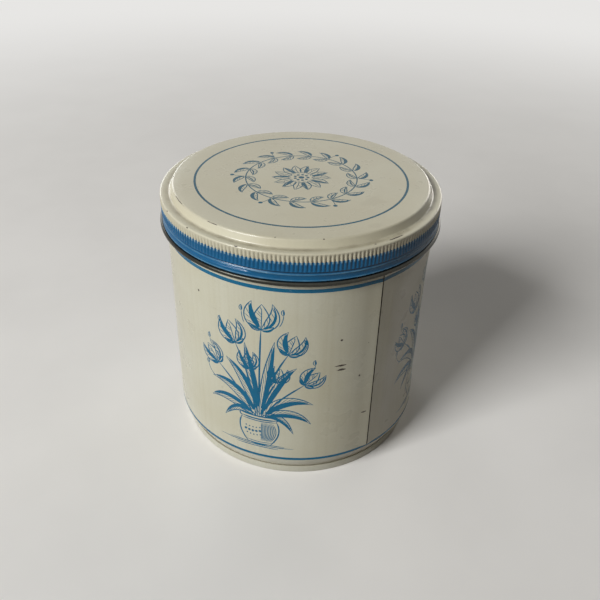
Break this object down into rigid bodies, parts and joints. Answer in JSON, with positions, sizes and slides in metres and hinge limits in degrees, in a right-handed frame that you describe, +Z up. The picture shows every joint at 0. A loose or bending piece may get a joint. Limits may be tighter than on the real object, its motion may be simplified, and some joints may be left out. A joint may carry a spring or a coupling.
{
  "type": "screw-lid tin",
  "caption": "Round printed tinplate canister with an upright lock seam, a seamed bottom and a knurled screw lid that unscrews and lifts clear.",
  "frame": {"origin": "under the centre of the bottom, on the surface that the tin stands on", "axes": "+Z up along the tin's axis, -Y towards the picture's camera, +X to the right of the picture"},
  "size_m": [0.11, 0.11, 0.1096],
  "materials": {
    "wall_tin": "glossy cream lacquer with blue print over tinplate",
    "base_tin": "cream lacquer over tinplate, bare underneath",
    "compound": "matt",
    "lid_tin": "glossy cream lacquer with blue skirt, bare tinplate hem",
    "pulpboard": "matt"
  },
  "bodies": {
    "canister": {"body_wall": "wall_tin", "base_end": "base_tin", "base_seal": "compound"},
    "liner": {"lid_liner": "pulpboard"},
    "lid": {"lid_shell": "lid_tin"}
  },
  "joints": [
    {"name": "lid_rise", "type": "slide", "parent": "canister", "child": "liner", "axis": [0, 0, 1], "range_m": [0, 0.012]},
    {"name": "lid_turn", "type": "hinge", "parent": "liner", "child": "lid", "pos_m": [0, 0, 0.1], "axis": [0, 0, 1], "range_deg": [0, 1080]}
  ],
  "couplings": [
    {"joint": "lid_rise", "follows": "lid_turn", "m_per_rad": 0.00063662}
  ]
}
